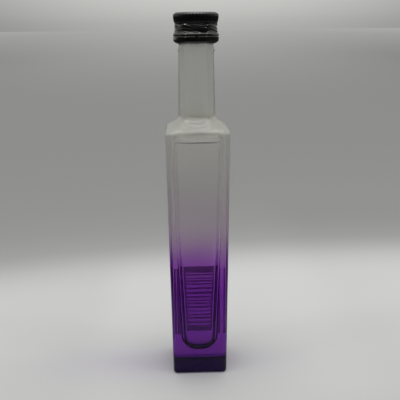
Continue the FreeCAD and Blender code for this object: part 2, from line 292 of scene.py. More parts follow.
def bore_and_hollow_top():
    """Down the bore, out round its flared foot, flat while the circle turns square, and round
    the top edge of the well."""
    turn = np.radians(np.linspace(90, 0, 6))
    lip_radius = BORE + MOUTH_ROUND - MOUTH_ROUND * np.cos(turn)
    lip = stretch(lip_radius, lip_radius, MOUTH_Z - MOUTH_ROUND * (1 - np.sin(turn)))
    fall = close_ends(MOUTH_Z - MOUTH_ROUND, HOLLOW_TOP_Z + BORE_FLARE, 14)[1:]
    bore = stretch(BORE, BORE, fall)
    turn = np.radians(np.linspace(0, 90, 8))[1:]
    foot = BORE + BORE_FLARE * (1 - np.cos(turn))
    foot_z = HOLLOW_TOP_Z + BORE_FLARE * (1 - np.sin(turn))
    flat_half = HOLLOW_TOP_HALF - HOLLOW_TOP_ROUND
    flat_corner = HOLLOW_TOP_CORNER - HOLLOW_TOP_ROUND
    share = np.array([0.1, 0.5, 0.9, 1.0])
    flat = stretch(
        foot[-1] * (1 - share) + flat_half * share,
        foot[-1] * (1 - share) + flat_corner * share,
        HOLLOW_TOP_Z,
    )
    turn = np.radians(np.linspace(0, 90, 12))[1:]
    inset = HOLLOW_TOP_ROUND * (1 - np.sin(turn))
    edge = stretch(
        HOLLOW_TOP_HALF - inset,
        HOLLOW_TOP_CORNER - inset,
        HOLLOW_TOP_Z - HOLLOW_TOP_ROUND * (1 - np.cos(turn)),
    )
    return np.vstack([lip, bore, stretch(foot, foot, foot_z), flat, edge])


def hollow_corner(height):
    """The hollow's corner radius: small above, and rounder by a bell curve of the height towards
    the floor, where the glass gathers."""
    return HOLLOW_TOP_CORNER + GATHER * np.exp(-(((height - GATHER_Z) / GATHER_REACH) ** 2))


def well_wall(heights):
    """The leaning wall of the well: its half width grows evenly from its floor to its top."""
    share = (heights - WELL_FLOOR_Z) / (HOLLOW_TOP_Z - WELL_FLOOR_Z)
    half = FLOOR_HALF + share * (HOLLOW_TOP_HALF - FLOOR_HALF)
    return stretch(half, hollow_corner(heights), heights)


def well_and_bowl(from_z):
    """Down the leaning wall of the well, then a bowl whose half width follows the sine and whose
    height follows the cosine of a quarter turn, and whose corners grow rounder towards its
    middle, from those of the well to 0.98 of the half width."""
    wall = well_wall(close_ends(from_z, WELL_FLOOR_Z, 52))
    quarter = np.linspace(1, 0.04, 26)[1:]
    half = FLOOR_HALF * np.sin(quarter * np.pi / 2)
    roundness = 0.98 - quarter * (0.98 - hollow_corner(WELL_FLOOR_Z) / FLOOR_HALF)
    rise = (WELL_FLOOR_Z - BOWL_FLOOR_Z) * (1 - np.cos(quarter * np.pi / 2))
    return np.vstack([wall[1:], stretch(half, half * roundness, BOWL_FLOOR_Z + rise)])


def ripple(rings):
    """Blown glass is never even inside: long shallow waves, the mean of three sines of direction
    and height, move the wall in and out by up to RIPPLE at 10 mm from the axis."""
    angle = np.arctan2(rings[..., 1], rings[..., 0])
    height = rings[..., 2] / MM
    wave = (
        np.sin(3 * angle + height / 9.0)
        + np.sin(5 * angle - height / 14.0 + 1.3)
        + np.sin(height / 4.7 + 2 * angle)
    ) / 3
    out = rings.copy()
    out[..., :2] *= 1 + RIPPLE * wave[..., None] / (10 * MM)
    return out


above_wet = bore_and_hollow_top()
dry_wall = well_wall(np.array([HOLLOW_TOP_Z - HOLLOW_TOP_ROUND - 0.3 * MM, WET_LINE_Z]))
below_wet = well_and_bowl(WET_LINE_Z)
print("profile stations inside:", len(above_wet), len(dry_wall), len(below_wet))

# %% [markdown]
# ## Helpers for finishes
# A finish is a small tree of nodes. A few helpers keep each one readable. They add a node and
# feed its inputs, do one step of arithmetic, turn a range of heights into a smooth share, and
# put channels, colours or greys together.

# %% Node helpers
def new_finish(name):
    """A node material and its Principled shader."""
    finish = bpy.data.materials.new(name)
    finish.use_nodes = True
    shader = finish.node_tree.nodes["Principled BSDF"]
    return finish, shader


def feed(socket, source):
    """Connects a node's output to a socket, or writes a plain value into it."""
    if isinstance(source, bpy.types.NodeSocket):
        socket.id_data.links.new(source, socket)
    else:
        socket.default_value = source


def add_node(finish, kind, inputs=(), **settings):
    """A new node with its settings, and its inputs fed by name or number."""
    made = finish.node_tree.nodes.new(kind)
    for key, value in settings.items():
        setattr(made, key, value)
    for key, source in dict(inputs).items():
        feed(made.inputs[key], source)
    return made


def calc(finish, operation, *sources, clamp=False):
    """One step of arithmetic on numbers or sockets."""
    return add_node(
        finish, "ShaderNodeMath", dict(enumerate(sources)), operation=operation, use_clamp=clamp
    ).outputs[0]


def share_between(finish, value, low, high, kind="SMOOTHERSTEP"):
    """0 at low, 1 at high, and smooth between them. low may be the larger."""
    inputs = {"Value": value, "From Min": low, "From Max": high, "To Min": 0.0, "To Max": 1.0}
    return add_node(finish, "ShaderNodeMapRange", inputs, interpolation_type=kind).outputs[0]


def object_place(finish):
    """The point on the piece, and its three coordinates, in metres."""
    point = add_node(finish, "ShaderNodeTexCoord").outputs["Object"]
    parts = add_node(finish, "ShaderNodeSeparateXYZ", {0: point}).outputs
    return point, parts[0], parts[1], parts[2]


def cloud(finish, point, scale, detail=2.0, stretch_z=1.0):
    """Noise from 0 to 1. scale is in turns per metre, and stretch_z squeezes it upright."""
    if stretch_z != 1.0:
        point = add_node(
            finish, "ShaderNodeVectorMath", {0: point, 1: (1, 1, stretch_z)}, operation="MULTIPLY"
        ).outputs[0]
    inputs = {"Vector": point, "Scale": scale, "Detail": detail}
    return add_node(finish, "ShaderNodeTexNoise", inputs).outputs["Fac"]


def bump(finish, height, distance):
    """A normal from a height pattern, for relief too fine for the mesh."""
    inputs = {"Height": height, "Distance": distance, "Strength": 1.0}
    return add_node(finish, "ShaderNodeBump", inputs).outputs[0]


def combine(finish, *channels):
    """A colour from its red, green and blue."""
    return add_node(finish, "ShaderNodeCombineColor", dict(enumerate(channels))).outputs[0]


def mix(finish, share, first, second):
    """The first colour at share 0, the second at share 1."""
    inputs = {"Factor": share, 6: first, 7: second}
    return add_node(finish, "ShaderNodeMix", inputs, data_type="RGBA").outputs[2]


def scaled(finish, colour, scale):
    """A colour made brighter or darker."""
    inputs = {0: colour, "Scale": scale}
    return add_node(finish, "ShaderNodeVectorMath", inputs, operation="SCALE").outputs[0]


def grey_ramp(finish, place, greys, tint, interpolation="LINEAR"):
    """A grey for each place from 0 to 1, out of pairs of place and grey, and slightly tinted."""
    ramp = add_node(finish, "ShaderNodeValToRGB", {0: place})
    ramp.color_ramp.interpolation = interpolation
    stops = ramp.color_ramp.elements
    while len(stops) < len(greys):
        stops.new(0.5)
    for stop, (position, grey) in zip(stops, greys):
        stop.position = position
        stop.color = (grey * tint[0], grey * tint[1], grey * tint[2], 1)
    return ramp.outputs[0]


# %% [markdown]
# ## The coat: frost that turns into violet dye
# The outside of the bottle is sprayed twice. A satin coat makes the neck and the upper body
# milky, and thins out half way down. A violet dye starts faintly there and is at full depth
# below. One material on the glass could carry both, but two weak layers scatter and filter the
# light more evenly than one strong one, so the coat is a thin skin of its own. Its outer side
# bends the light, is rough where the satin is, and holds a part of the dye. Its inner side is a
# plain filter with the rest. Light meets a coat on the way in and again on the way out, and a
# filter twice as thick passes the square of the light, so each colour channel is a power of the
# dye's own colour, and the power is the depth of the dye.

# %% Coated glass
GLASS_IOR, DRINK_IOR = 1.54, 1.31
DYE = (0.168, 0.027, 0.335)
DYE_MIRROR = (0.38, 0.33, 0.36)
LAYER_PART = 0.75
DYE_STARTS, DYE_FULL = 75 * MM, 28.5 * MM
FAINT_STARTS, FAINT_FULL, FAINT_DYE = 96 * MM, 62 * MM, 0.06
HEEL_STARTS, HEEL_FULL, HEEL_DYE = 1.7 * MM, 1.1 * MM, 0.9
SPRAY_DRIFT = 7 * MM
FROST_THINS, FROST_GONE = 72 * MM, 52 * MM
CLEAR, SATIN, SATIN_MIDDLE_DIMMING = 0.98, (0.97, 0.97, 0.93), (0.15, 0.190, 0.145)
FROST_WHITE = 0.21


def sprayed_height(finish):
    """The height above the base, shifted a little by a slow cloud, because a spray is uneven."""
    point, _, _, height = object_place(finish)
    drift = calc(finish, "SUBTRACT", cloud(finish, point, 60.0), 0.5)
    return point, calc(finish, "MULTIPLY_ADD", drift, SPRAY_DRIFT, height)


def dye_depth(finish, sprayed):
    """0 where there is no dye, 1 where it is full, with a faint start higher up, and more of it
    where it gathers at the heel."""
    depth = share_between(finish, sprayed, DYE_STARTS, DYE_FULL)
    faint = share_between(finish, sprayed, FAINT_STARTS, FAINT_FULL)
    depth = calc(finish, "MULTIPLY_ADD", faint, FAINT_DYE, depth)
    height = object_place(finish)[3]
    heel = share_between(finish, height, HEEL_STARTS, HEEL_FULL)
    return calc(finish, "MULTIPLY_ADD", heel, HEEL_DYE, depth)


def frost_share(finish, sprayed):
    """0 where the satin is gone, 1 where it is whole."""
    return share_between(finish, sprayed, FROST_GONE, FROST_THINS, "SMOOTHSTEP")


def let_through(finish, shader, frost):
    """Lets all light through but the share that the frost scatters."""
    passed = calc(finish, "MULTIPLY_ADD", frost, -FROST_WHITE, 1.0)
    feed(shader.inputs["Transmission Weight"], passed)


def tint_layer():
    """The inner side of the coat: a filter that bends nothing, each channel of the dye's colour
    to the power of its depth."""
    finish, shader = new_finish("dye_layer")
    _, sprayed = sprayed_height(finish)
    depth = calc(finish, "MULTIPLY", dye_depth(finish, sprayed), LAYER_PART)
    dyed = [calc(finish, "POWER", channel, depth) for channel in DYE]
    feed(shader.inputs["Base Color"], combine(finish, *dyed))
    let_through(finish, shader, frost_share(finish, sprayed))
    shader.inputs["Roughness"].default_value = 0.0
    shader.inputs["IOR"].default_value = 1.0
    return finish


def coated_glass():
    """The outer side of the coat: frosted at the top, clear and violet at the bottom, uneven as
    a spray is. In the middle heights it passes less light through the satin, by a smooth share of
    the height."""
    finish, shader = new_finish("frosted_glass")
    point, sprayed = sprayed_height(finish)
    depth = dye_depth(finish, sprayed)
    skin_depth = calc(finish, "MULTIPLY", depth, 1.0 - LAYER_PART)
    frost = frost_share(finish, sprayed)
    # Darker in the middle heights: a smooth share of the height lowers the light that the satin
    # passes.
    middle_dimming = calc(
        finish,
        "MULTIPLY",
        share_between(finish, sprayed, 112 * MM, 80 * MM, "SMOOTHSTEP"),
        share_between(finish, sprayed, 40 * MM, 54 * MM, "SMOOTHSTEP"),
    )
    passed, mirrored = [], []
    for dye, mirror, satin, grey in zip(DYE, DYE_MIRROR, SATIN, SATIN_MIDDLE_DIMMING):
        dyed = calc(finish, "POWER", dye, skin_depth)
        milky = calc(finish, "MULTIPLY_ADD", frost, satin - CLEAR, CLEAR)
        milky = calc(finish, "MULTIPLY", milky, calc(finish, "MULTIPLY_ADD", middle_dimming, -grey, 1.0))
        passed.append(calc(finish, "MULTIPLY", dyed, milky))
        mirrored.append(calc(finish, "POWER", mirror, depth))
    feed(shader.inputs["Base Color"], combine(finish, *passed))
    feed(shader.inputs["Specular Tint"], combine(finish, *mirrored))
    satin = calc(finish, "MULTIPLY_ADD", cloud(finish, point, 900.0, 3.0), 0.04, 0.20)
    feed(shader.inputs["Roughness"], calc(finish, "MULTIPLY_ADD", frost, satin, 0.012))
    let_through(finish, shader, frost)
    shader.inputs["IOR"].default_value = GLASS_IOR
    feed(shader.inputs["Normal"], bump(finish, cloud(finish, point, 130.0, 2.0), 0.05 * MM))
    return finish


coat_finish, layer_finish = coated_glass(), tint_layer()
print("dye seen through twice:", [round(channel**2, 4) for channel in DYE])

# %% [markdown]
# ## The glass's own finishes
# Under the coat the glass begins with no bend, because the coat's outer side has made it
# already. Inside it ends twice: dry glass meets air, and wet glass meets the drink. The drink
# bends light nearly as much as glass does, so a wet wall all but vanishes. That is why the
# drink shows by its upper edge and not by its sides.

# %% Glass finishes
def bare_glass(name, ior):
    """Fire-polished glass inside, with the slow waves that blowing leaves."""
    finish, shader = new_finish(name)
    point, _, _, _ = object_place(finish)
    waves = cloud(finish, point, 90.0, 1.0, 0.5)
    feed(shader.inputs["Normal"], bump(finish, waves, 0.06 * MM))
    feed(shader.inputs["Roughness"], calc(finish, "MULTIPLY", waves, 0.01))
    shader.inputs["Base Color"].default_value = (0.985, 0.992, 0.985, 1)
    shader.inputs["Transmission Weight"].default_value = 1.0
    shader.inputs["IOR"].default_value = ior
    return finish


def neutral_side(name):
    """Passes light straight on: no step in the speed of light, almost no colour, and a little
    warm frost on the shoulder, a smooth share of the height."""
    finish, shader = new_finish(name)
    point, _, _, height = object_place(finish)
    tint = calc(finish, "MULTIPLY_ADD", cloud(finish, point, 40.0), 0.004, 0.994)
    bloom = calc(
        finish,
        "MULTIPLY",
        share_between(finish, height, 109.6 * MM, 111.2 * MM, "SMOOTHSTEP"),
        share_between(finish, height, 122.0 * MM, 115.5 * MM, "SMOOTHSTEP"),
    )
    warm = calc(finish, "MULTIPLY_ADD", bloom, -0.10, tint)
    feed(shader.inputs["Base Color"], combine(finish, tint, tint, warm))
    feed(shader.inputs["Transmission Weight"], calc(finish, "MULTIPLY_ADD", bloom, -0.16, 1.0))
    shader.inputs["Roughness"].default_value = 0.0
    shader.inputs["IOR"].default_value = 1.0
    return finish


neutral_finish = neutral_side("glass_under_coat")
dry_finish = bare_glass("glass_dry_inside", GLASS_IOR)
wet_finish = bare_glass("glass_wet_inside", GLASS_IOR / DRINK_IOR)
print("ratio where the drink wets the glass:", round(GLASS_IOR / DRINK_IOR, 3))

# %% [markdown]
# ## Putting the bottle together
# The two lugs on the neck are what is left of the mould's transfer ring. They are two low
# domes, added to the neck's radius where they stand. The coat is the outside profile closed by
# the same profile moved a hair inwards. Then the outside, the bore and the well are stacked into
# one closed skin a little further in, with a finish for each stretch.

# %% The bottle
LUG_HALF_WIDTH, LUG_HALF_HEIGHT, LUG_PROUD = 1.5 * MM, 0.75 * MM, 0.4 * MM
LUG_Z = CAP_FOOT_Z - 2.6 * MM
COAT_THICK, COAT_GAP = 0.04 * MM, 0.01 * MM
THINNEST = 0.02 * MM
coated_rows = len(outside) - len(neck_finish())


def with_lugs(rings):
    """Adds an ellipsoid's height to the neck on either side, where direction and height are
    within the lug's outline."""
    angle = np.arctan2(rings[..., 1], np.abs(rings[..., 0]))
    along = angle * NECK_TOP / LUG_HALF_WIDTH
    up = (rings[..., 2] - LUG_Z) / LUG_HALF_HEIGHT
    proud = LUG_PROUD * np.sqrt(np.clip(1 - along**2 - up**2, 0, 1))
    out = rings.copy()
    out[..., :2] *= 1 + proud[..., None] / np.linalg.norm(rings[..., :2], axis=-1, keepdims=True)
    return out


def moved_in(stations, depth):
    """The same profile moved into the solid by depth. The way out of the solid is the profile's
    direction of travel turned by a right angle, so a step up the wall points away from the axis
    and a step out along the base points down."""
    step = np.gradient(stations[:, [0, 2]], axis=0)
    step /= np.linalg.norm(step, axis=1, keepdims=True)
    out = stations.copy()
    out[:, 0] -= depth * step[:, 1]
    out[:, 1] = np.maximum(out[:, 1] - depth * step[:, 1], THINNEST)
    out[:, 2] += depth * step[:, 0]
    return out


coat_skin = with_lugs(ring_points(*outside[:coated_rows].T, AROUND))
coat_inside = moved_in(outside[:coated_rows], COAT_THICK)[::-1]
coat_back = with_lugs(ring_points(*coat_inside.T, AROUND))
coat_rows_finish = np.zeros(2 * coated_rows, int)
coat_rows_finish[coated_rows - 1 :] = 1
coat = ringed_object(
    "spray_coat",
    (0, 0, BASE_PUSH_UP),
    np.vstack([coat_skin, coat_back]),
    (0, 0, BASE_PUSH_UP + COAT_THICK),
    [coat_finish, layer_finish],
    coat_rows_finish,
)
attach(coat, "root")

outside[:coated_rows] = moved_in(outside[:coated_rows], COAT_THICK + COAT_GAP)
outer_rings = with_lugs(ring_points(*outside.T, AROUND))
well_rings = ripple(ring_points(*np.vstack([dry_wall, below_wet]).T, AROUND))
inner_rings = np.vstack([ring_points(*above_wet.T, AROUND), well_rings])
rows_wet = len(outer_rings) + len(above_wet) + len(dry_wall) - 1
row_finish = np.zeros(len(outer_rings) + len(inner_rings), int)
row_finish[coated_rows:] = 1
row_finish[rows_wet:] = 2
bottle = ringed_object(
    "bottle_glass",
    (0, 0, BASE_PUSH_UP + COAT_THICK + COAT_GAP),
    np.vstack([outer_rings, inner_rings]),
    (0, 0, BOWL_FLOOR_Z),
    [neutral_finish, dry_finish, wet_finish],
    row_finish,
)
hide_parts("bottle")
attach(bottle, "root")

# %% [markdown]
# ## The drink
# A clear spirit shows only by its surface: a level with an edge that climbs the glass, the
# meniscus. Its sides bend no light of their own, because the glass's wet finish already holds
# the step from glass to drink. The piece reaches a hair into the wall, so that no film of air is
# left, and its sides let light straight through. Only its top is a real surface.

# %% Drink
def drink_surface():
    """A level, faintly rippled surface of spirit and water."""
    finish, shader = new_finish("clear_drink")
    point, _, _, _ = object_place(finish)
    tint = calc(finish, "MULTIPLY_ADD", cloud(finish, point, 40.0), 0.01, 0.985)
    feed(shader.inputs["Base Color"], combine(finish, tint, tint, tint))
    feed(shader.inputs["Normal"], bump(finish, cloud(finish, point, 120.0), 0.02 * MM))
    shader.inputs["Roughness"].default_value = 0.0
    shader.inputs["IOR"].default_value = DRINK_IOR
    shader.inputs["Transmission Weight"].default_value = 1.0
    return finish


INTO_WALL = 0.03 * MM


def drink_profile():
    """Up the bowl and the well, a hair outside their wall, then in from the wall over a meniscus.
    Its shape is the one that a liquid takes at an upright wall. For each height above the level,
    the distance from the wall is the difference of two values of one curve:
    arcosh(2 c / height) - sqrt(4 - (height / c) squared), times the capillary length c."""
    sides = below_wet[::-1].copy()
    sides[:, :2] += INTO_WALL
    share = [0.97, 0.93, 0.88, 0.82, 0.75, 0.67, 0.58, 0.48, 0.38, 0.28, 0.19, 0.12, 0.06, 0.025]
    height = MENISCUS * np.array(share)

    def curve(rise):
        return CAPILLARY * (np.arccosh(2 * CAPILLARY / rise) - np.sqrt(4 - (rise / CAPILLARY) ** 2))

    distance = curve(height) - curve(MENISCUS) + 0.02 * MM
    distance = np.append(distance, [9.0 * MM, 10.3 * MM])
    height = np.append(height, [0.0, 0.0])
    half = sides[-1, 0] - distance
    corner = np.minimum(sides[-1, 1] + distance, 0.98 * half)
    print("meniscus reaches", np.round(distance[-3] / MM, 2), "mm from the wall")
    top = stretch(half, corner, LEVEL_Z + height)
    return sides, top


drink_sides, drink_top = drink_profile()
side_rings = ripple(ring_points(*drink_sides.T, AROUND))
drink_rings = np.vstack([side_rings, ring_points(*drink_top.T, AROUND)])
drink_finish_rows = np.zeros(len(drink_rings), int)
drink_finish_rows[len(drink_sides) - 1 :] = 1
drink = ringed_object(
    "drink",
    (0, 0, BOWL_FLOOR_Z - INTO_WALL),
    drink_rings,
    (0, 0, LEVEL_Z),
    [neutral_side("drink_side"), drink_surface()],
    drink_finish_rows,
)
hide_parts("liquid")
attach(drink, "root")
print("drink level:", round(LEVEL_Z / MM, 2), "mm")

# %% [markdown]
# ## The roll-on cap
# Such a cap starts as a thin lacquered aluminium cup. Rollers press its skirt round the glass
# thread, which leaves uneven helical dents, and tuck its lower band under a ring of the glass.
# A scored line with small bridges lets that band tear off, and the knurled collar gives grip.
# One skin does it: a radius for each height and direction.

# %% Cap shape
CAP_WALL = 0.3 * MM
CAP_TOP_Z = float(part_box("cap")[1].z)
CAP_TEETH = 42
THREAD_PITCH, THREAD_STARTS = 2.75 * MM, 4.8 * MM
SCORE_UP, SCORE_WIDE = 2.9 * MM, 0.16 * MM
BAND = (0.9 * MM, 1.5 * MM, 3.5 * MM, 4.0 * MM)
WAIST = (3.8 * MM, 4.4 * MM, 7.6 * MM, 8.2 * MM)
COLLAR = (8.2 * MM, 8.6 * MM, 11.2 * MM, 11.6 * MM)
CAP_PROFILE = (
    (0.0, 7.7), (0.25, 8.3), (0.7, 9.0), (1.3, 9.24), (3.6, 9.30), (3.95, 9.14), (4.3, 8.80),
    (7.6, 8.68), (8.3, 8.74), (10.4, 9.05), (11.2, 9.03), (11.6, 8.8), (11.9, 8.4), (12.05, 8.0),
)


def soft_step(value, low, high):
    """0 below low, 1 above high, and a smooth cubic between."""
    share = np.clip((value - low) / (high - low), 0, 1)
    return share * share * (3 - 2 * share)


def between(value, start, full, fade, end):
    """0 outside start and end, 1 from full to fade, and smooth where it changes."""
    return soft_step(value, start, full) * (1 - soft_step(value, fade, end))


def cap_outline(heights):
    """The cap's outer radius by height above its lip: a line through a few stations, with its
    corners softened by averaging it over a third of a millimetre."""
    stations, radii = MM * np.array(CAP_PROFILE).T
    offsets = np.linspace(-0.16, 0.16, 9) * MM
    weights = np.hanning(11)[1:-1]
    sampled = np.stack([np.interp(heights + o, stations, radii) for o in offsets], axis=-1)
    return sampled @ weights / weights.sum()


def cap_skirt(heights, angle):
    """The radius on a grid of heights and directions: the outline, less the dents rolled round
    the thread, less the scored line, plus the teeth of the collar. Sines of direction and height
    make the thread wander, the dents uneven and the band wavy, as hand-fed rollers leave them."""
    up, turn = np.meshgrid(heights, angle, indexing="ij")
    radius = cap_outline(up)
    waist = between(up, *WAIST)
    wander = 0.09 * np.sin(2 * turn + 0.6) + 0.09 * np.sin(5 * turn + 2.0) + 0.05 * np.sin(9 * turn)
    helix = (up - THREAD_STARTS) / THREAD_PITCH + (turn + np.pi / 2) / (2 * np.pi) + wander
    dent = np.exp(7.0 * (np.cos(2 * np.pi * helix) - 1))
    uneven = 0.6 + 0.3 * np.sin(3 * turn + 1.1) + 0.25 * np.sin(7 * turn - up / (0.7 * MM))
    radius -= waist * dent * (0.34 + 0.20 * np.clip(uneven, 0, 1)) * MM
    fold = np.abs(np.sin(4 * turn + up / (0.9 * MM) + 0.9 * np.sin(3 * turn + up / (0.6 * MM))))
    crease = np.abs(np.sin(6.5 * helix + 1.5 * turn + 0.7))
    radius -= waist * (0.14 * (1 - fold) ** 3 + 0.16 * (1 - crease) ** 4) * MM
    scored = np.exp(-(((up - SCORE_UP) / SCORE_WIDE) ** 2))
    bridge = soft_step(np.abs((turn + np.pi / 8) % (np.pi / 4) - np.pi / 8), 0.05, 0.09)
    radius -= scored * (0.05 + 0.17 * bridge) * MM
    radius += between(up, *BAND) * 0.05 * MM * np.sin(4 * turn + 0.5) * np.sin(up / (0.6 * MM))
    groove = np.clip(0.15 - 1.15 * np.cos(CAP_TEETH * turn), 0, 1)
    return radius + between(up, *COLLAR) * (0.18 - 0.42 * groove) * MM


def level_rings(radii, height):
    """Round rings from a radius for each ring."""
    radius = np.repeat(radii[:, None], len(cap_angle), axis=1)
    return turned_rings(radius, height, cap_angle)


cap_angle = np.linspace(0, 2 * np.pi, CAP_TEETH * 9, endpoint=False)
score_rows = np.linspace(2.55, 3.25, 9)
skirt_up = np.unique(np.round(np.concatenate([np.linspace(0.0, 12.05, 92), score_rows]), 3)) * MM
skirt_radius = cap_skirt(skirt_up, cap_angle)
outer_skirt = turned_rings(skirt_radius, CAP_FOOT_Z + skirt_up, cap_angle)
inner_up = skirt_up[(skirt_up > 0.1 * MM) & (skirt_up < 10.8 * MM)][::-1][::3]
inner_radius = np.minimum(cap_outline(inner_up) - CAP_WALL, 8.9 * MM)
inner_skirt = level_rings(inner_radius, CAP_FOOT_Z + inner_up)
rim_radius, rim_z = skirt_radius[-1].mean(), CAP_FOOT_Z + skirt_up[-1]
share = np.array([0.985, 0.95, 0.9, 0.82, 0.7, 0.55, 0.4, 0.25, 0.1])
dome = level_rings(share * rim_radius, rim_z + (CAP_TOP_Z - rim_z) * (1 - share**2))
ceiling = level_rings(np.array([0.5, 4.0, 7.0, 7.9]) * MM, np.full(4, MOUTH_Z))
print("cap height:", round((CAP_TOP_Z - CAP_FOOT_Z) / MM, 2), "mm, teeth:", CAP_TEETH)

# %% [markdown]
# ## Black lacquer
# The lacquer is thin and glossy over soft metal. Rolling scratches it round the skirt, handling
# rubs it on the high places, and dust settles in the grooves. So the roughness carries fine
# scratches that run round the cap, and the relief carries small dents.

# %% Cap finish
LACQUER, DUST = (0.003, 0.003, 0.0032, 1), (0.2, 0.2, 0.2, 1)


def black_lacquer():
    """Glossy black. Streaks round the cap steer its roughness and, with dents, its relief. Dust
    lightens a few specks, and rubbing dulls a few patches."""
    finish, shader = new_finish("black_cap")
    point, _, _, _ = object_place(finish)
    streaks = cloud(finish, point, 500.0, 3.0, 5.0)
    dents = cloud(finish, point, 420.0, 2.0)
    dust = share_between(finish, cloud(finish, point, 2600.0, 2.0), 0.60, 0.78, "SMOOTHSTEP")
    rub = share_between(finish, cloud(finish, point, 300.0, 5.0), 0.52, 0.72, "SMOOTHSTEP")
    dust = calc(finish, "MULTIPLY", dust, 0.03)
    feed(shader.inputs["Base Color"], mix(finish, dust, LACQUER, DUST))
    roughness = calc(finish, "MULTIPLY_ADD", streaks, 0.08, 0.06)
    feed(shader.inputs["Roughness"], calc(finish, "MULTIPLY_ADD", rub, 0.06, roughness))
    shader.inputs["IOR"].default_value = 1.8
    relief = calc(finish, "MULTIPLY_ADD", streaks, 0.25, dents)
    feed(shader.inputs["Normal"], bump(finish, relief, 0.03 * MM))
    return finish


cap_rings = np.vstack([ceiling, inner_skirt, outer_skirt, dome])
cap = ringed_object(
    "roll_on_cap",
    (0, 0, MOUTH_Z),
    cap_rings,
    (0, 0, CAP_TOP_Z),
    [black_lacquer()],
    np.zeros(len(cap_rings), int),
)
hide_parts("cap")
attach(cap, "root")

# %% [markdown]
# ## The back label
# A film label lies on the lower back. From the front it is read through the drink, from behind
# its print: a dark field with a pale window of uneven bars. Real print would name a product, so
# this one is a generic field: the widths of its bars are drawn from a seeded random source.
# The label is an even flat grid, made solid with Solidify.

# %% Label
label_low, label_high = (np.array(corner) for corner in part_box("back_label"))
LABEL_GAP, LABEL_THICK = 0.012 * MM, 0.11 * MM
WINDOW_X, WINDOW_HALF_WIDTH = 0.3 * MM, 7.6 * MM
WINDOW_Z, WINDOW_HALF_HEIGHT = 28.85 * MM, 13.35 * MM
BARS_LOW, BARS_HIGH = 16.6 * MM, 41 * MM
FRAY = 0.35 * MM


def label_sheet():
    """A grid across and up the label. Each point lies behind the leaning wall by the gap and half
    the thickness."""
    across = np.linspace(label_low[0], label_high[0], 41)
    up = np.linspace(label_low[2], label_high[2], 67)
    x, z = np.meshgrid(across, up)
    y = BASE_HALF + LEAN * z + LABEL_GAP + LABEL_THICK / 2
    points = np.stack([x, y, z], axis=-1).reshape(-1, 3)
    columns = len(across)
    corner = (np.arange(len(up) - 1)[:, None] * columns + np.arange(columns - 1)).reshape(-1)
    faces = np.stack([corner, corner + columns, corner + columns + 1, corner + 1], axis=-1)
    mesh = bpy.data.meshes.new("label_film")
    mesh.from_pydata(points.tolist(), [], faces.tolist())
    made = bpy.data.objects.new("label_film", mesh)
    bpy.context.scene.collection.objects.link(made)
    thick = made.modifiers.new("thickness", "SOLIDIFY")
    thick.thickness, thick.offset = LABEL_THICK, 0.0
    return made


def printed_film():
    """A film that lets light through softly. Bars across a pale window and a dark field round
    it hold the light back. A bar is where the height is within half its width of its middle, and
    noise frays every edge."""
    finish, shader = new_finish("label_film")
    point, x, _, z = object_place(finish)
    shiver = calc(finish, "SUBTRACT", cloud(finish, point, 500.0), 0.5)
    wobbly_z = calc(finish, "MULTIPLY_ADD", shiver, FRAY, z)
    wobbly_x = calc(finish, "MULTIPLY_ADD", shiver, FRAY, x)
    window = calc(
        finish,
        "MULTIPLY",
        calc(finish, "COMPARE", wobbly_x, WINDOW_X, WINDOW_HALF_WIDTH),
        calc(finish, "COMPARE", wobbly_z, WINDOW_Z, WINDOW_HALF_HEIGHT),
    )
    random = np.random.default_rng(7)
    bars, level = 0.0, BARS_LOW
    while level < BARS_HIGH:
        wide = (0.5 + 0.7 * random.random()) * MM
        bar = calc(finish, "COMPARE", wobbly_z, level + wide / 2, wide / 2)
        bars = calc(finish, "MAXIMUM", bar, bars)
        level += wide + (0.6 + 0.8 * random.random()) * MM
    pale = calc(finish, "MULTIPLY", window, calc(finish, "SUBTRACT", 1.0, bars))
    mottle = calc(finish, "MULTIPLY_ADD", cloud(finish, point, 900.0, 4.0), 0.2, 0.9)
    light = calc(finish, "MULTIPLY_ADD", pale, 0.56, 0.32)
    light = calc(finish, "MULTIPLY", light, mottle, clamp=True)
    feed(shader.inputs["Base Color"], combine(finish, light, light, light))
    feed(shader.inputs["Roughness"], calc(finish, "MULTIPLY_ADD", shiver, 0.1, 0.35))
    shader.inputs["Transmission Weight"].default_value = 1.0
    shader.inputs["IOR"].default_value = 1.3
    return finish


label = label_sheet()
label.data.materials.append(printed_film())
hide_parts("back_label")
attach(label, "root")
print("label:", np.round((label_high - label_low) / MM, 2), "mm")

# %% [markdown]
# ## Floor and backdrop
# The bottle stands on a pale sheet in a soft light box. The sheet is one big plane whose grey
# changes with distance, and that change is painted shade: the sheet is pale round the bottle,
# painted dark in front, where the box is open, and painted greyer further back, where the far
# sweep lies in shade. The world behind it takes over at the horizon. Glass shows nothing but what
# is around it, so these greys matter as much as the bottle's own finish. The cap mirrors the
# sheet in front of it too. In a dark room that part would be dark, so mirrored rays, and only
# those, see a painted shade that darkens the sheet away from the bottle.

# %% Greys of the sheet
NEAREST, SQUEEZE = -0.16, 0.3
SHIFT, SPAN = 1.2, 2.2


def far_share(distance):
    """Squeezes any distance behind the bottle into 0 to 1, so that one ramp can hold it."""
    return (distance / (distance + SQUEEZE) + SHIFT) / SPAN


# Painted shade by distance: the pale greys near the bottle are the sheet's own; the dark ones in
# front and the greyer ones far back stand in for shade.
FLOOR_GREYS = (
    (-0.160, 0.076),
    (-0.100, 0.134),
    (-0.070, 0.376),
    (-0.045, 0.555),
    (-0.020, 0.564),
    (0.010, 0.573),
    (0.045, 0.616),
    (0.089, 0.611),
    (0.105, 0.587),
    (0.123, 0.516),
    (0.140, 0.411),
    (0.159, 0.329),
    (0.200, 0.285),
    (0.268, 0.267),
    (0.496, 0.250),
    (1.040, 0.250),
    (1.560, 0.265),
    (2.640, 0.298),
    (7.000, 0.352),
    (30.00, 0.394),
)


